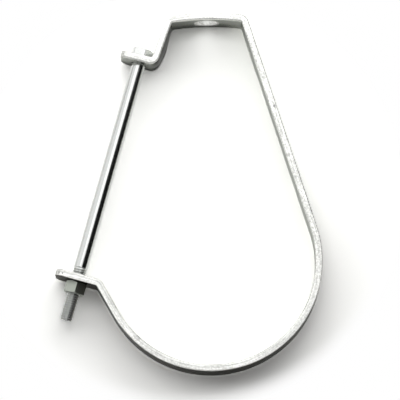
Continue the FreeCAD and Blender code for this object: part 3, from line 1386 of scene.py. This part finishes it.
@dataclass(frozen=True)
class Softbox(Panel):
    """A large area lamp."""

    radiance: float = 1.0

    def build(self, target: Vector) -> None:
        """Adds the lamp, unseen by the camera.

        Args:
            target: The point that it faces.
        """
        lamp = bpy.data.lights.new(self.name, "AREA")
        lamp.shape = "RECTANGLE"
        lamp.size, lamp.size_y = self.size()
        lamp.energy = self.radiance * math.pi * lamp.size * lamp.size_y
        stand = bpy.data.objects.new(self.name, lamp)
        stand.matrix_world = self.stand(target)
        stand.visible_camera = False
        bpy.context.scene.collection.objects.link(stand)


@dataclass
class Studio:
    """The pale sheet that the hanger lies on in the photograph, the lamps and the dim room.

    The spans are distances from the target over which the sheet turns plain white, to the camera and in
    reflections.
    """

    target: Vector
    sheet_at: float
    sheet_half: float = 3.0
    sheet_gap: float = 0.3 * MM
    near: float = 0.6 * MM
    paper: float = 0.85
    paper_shown: float = 1.75
    paper_blue: float = 0.98
    white_from: Span = (0.134, 0.150)
    mirrored_white_from: Span = (0.25, 0.6)
    room: float = 0.03
    mirrored_room: float = 0.42
    card: BlackCard = BlackCard("black_card", (15, 88), (-30, 9))
    lamps: tuple[Softbox, ...] = (
        Softbox("left_wall", (-88, -28), (13, 30), radiance=1.0),
        Softbox("left_step", (-85, -28), (3, 12), radiance=1.7),
        Softbox("left_low", (-85, -40), (-10, 2), radiance=0.55),
        Softbox("key", (-27, 14), (5, 30), radiance=1.8),
        Softbox("right_wall", (16, 70), (10, 30), radiance=0.8),
        Softbox("ceiling_left", (-88, -8), (32, 76), radiance=1.4),
        Softbox("ceiling_right", (-6, 68), (32, 76), radiance=1.75),
        Softbox("far_right", (72, 88), (5, 50), radiance=0.8),
        Softbox("front_low", (-12, 14), (-24, 3), radiance=1.1),
    )

    def build(self) -> None:
        """Adds the sheet, the card, the lamps and the world."""
        half = self.sheet_half
        y = self.sheet_at + self.sheet_gap
        x, z = self.target.x, self.target.z
        corners = [Vector((x - half, y, z - half)), Vector((x + half, y, z - half)),
                   Vector((x + half, y, z + half)), Vector((x - half, y, z + half))]
        sheet = mesh_object("sheet", corners, [(0, 1, 2, 3)])
        sheet.data.materials.append(self.sheet_material())
        for panel in (self.card, *self.lamps):
            panel.build(self.target)
        bpy.context.scene.world = self.world()

    def world(self) -> bpy.types.World:
        """White to the camera, pale in reflections, and nearly dark as a light.

        Returns:
            The world.
        """
        world = bpy.data.worlds.new("room")
        world.use_nodes = True
        tree = Tree(world.node_tree)
        rays = tree.node("ShaderNodeLightPath").outputs
        shown = Wire(tree, rays["Is Camera Ray"]) * (1 - self.room)
        mirrored = Wire(tree, rays["Is Glossy Ray"]) * (self.mirrored_room - self.room)
        light = tree.node("ShaderNodeBackground", {}, {
            "Color": (1.0, 1.0, 1.0, 1.0), "Strength": self.room + shown + mirrored,
        })
        tree.node("ShaderNodeOutputWorld", {}, {"Surface": light.outputs[0]})
        return world

    def sheet_material(self) -> bpy.types.Material:
        """Pale paper, clear from behind and to rays that start right on it.

        Returns:
            The material. Camera and glossy rays see it as white as the photograph shows it.
        """
        material, tree = new_material("sheet")
        rays = tree.node("ShaderNodeLightPath").outputs
        to_camera, glossy, length = (
            Wire(tree, rays[name]) for name in ("Is Camera Ray", "Is Glossy Ray", "Ray Length")
        )
        level = self.paper + to_camera.larger(glossy) * (self.paper_shown - self.paper)
        colour = tree.node("ShaderNodeCombineColor", {}, {
            "Red": level, "Green": level, "Blue": level * self.paper_blue,
        })
        paper = tree.node("ShaderNodeBsdfDiffuse", {}, {"Color": colour.outputs[0]})
        white = tree.node("ShaderNodeEmission", {}, {"Strength": 1.0})
        hit = tree.node("ShaderNodeNewGeometry").outputs
        away = tree.distance(hit["Position"], tuple(self.target))
        bare = away.ramp(*self.white_from) * to_camera + away.ramp(*self.mirrored_white_from) * glossy
        front = tree.node("ShaderNodeMixShader", {}, {0: bare, 1: paper.outputs[0], 2: white.outputs[0]})
        clear = tree.node("ShaderNodeBsdfTransparent")
        hidden = Wire(tree, hit["Backfacing"]).larger(length.math("LESS_THAN", self.near))
        mix = tree.node("ShaderNodeMixShader", {}, {0: hidden, 1: front.outputs[0], 2: clear.outputs[0]})
        tree.node("ShaderNodeOutputMaterial", {}, {"Surface": mix.outputs[0]})
        return material


@dataclass(frozen=True)
class PhotoCamera:
    """The photograph's camera, fitted to the strap's outline.

    The scale is in pixels a metre at the distance, and seen_at is the pixel where seen_point shows.
    """

    elevation: float = math.radians(-10.17)
    roll: float = math.radians(1.0)
    distance: float = 2.45
    scale: float = 1445.0
    frame_pixels: float = 400.0
    seen_point: Triple = (0.0, 0.0, -2.38125 * MM)
    seen_at: Point = (206.4, 23.58)
    sensor_width: float = 36.0
    clip: Span = (0.1, 100.0)

    def build(self) -> None:
        """Adds the camera and makes it the scene's camera."""
        forward = Vector((0, math.cos(self.elevation), -math.sin(self.elevation)))
        level = Vector((1, 0, 0))
        upright = level.cross(forward)
        right = level * math.cos(self.roll) - upright * math.sin(self.roll)
        up = level * math.sin(self.roll) + upright * math.cos(self.roll)
        focal = self.scale * self.distance
        middle = self.frame_pixels / 2
        aside = (self.seen_at[0] - middle) / focal
        above = (middle - self.seen_at[1]) / focal
        ray = forward + right * aside + up * above
        eye = Vector(self.seen_point) - ray * self.distance
        data = bpy.data.cameras.new("photo")
        data.sensor_width = self.sensor_width
        data.lens = focal / self.frame_pixels * self.sensor_width
        data.clip_start, data.clip_end = self.clip
        camera = bpy.data.objects.new("photo", data)
        turn = Matrix((right, up, -forward)).transposed().to_4x4()
        camera.matrix_world = Matrix.Translation(eye) @ turn
        bpy.context.scene.collection.objects.link(camera)
        bpy.context.scene.camera = camera


def main() -> None:
    """Builds each piece in order and reports it."""
    logging.basicConfig(level=logging.INFO, format="%(name)s: %(message)s")
    strap = HangerStrap()
    pieces = [strap.build(), SideBolt(strap.grip).build(), HexNut().build()]
    for piece in pieces:
        LOG.info("%s: %d faces", piece.name, len(piece.data.polygons))
    LOG.info("strap cut to %.1f mm", strap.stations[-1] / MM)
    low, high = CAD_BOX
    Studio(target=(low + high) / 2, sheet_at=high.y).build()
    PhotoCamera().build()
    bpy.context.scene.view_settings.view_transform = "Standard"


if __name__ == "__main__":
    main()
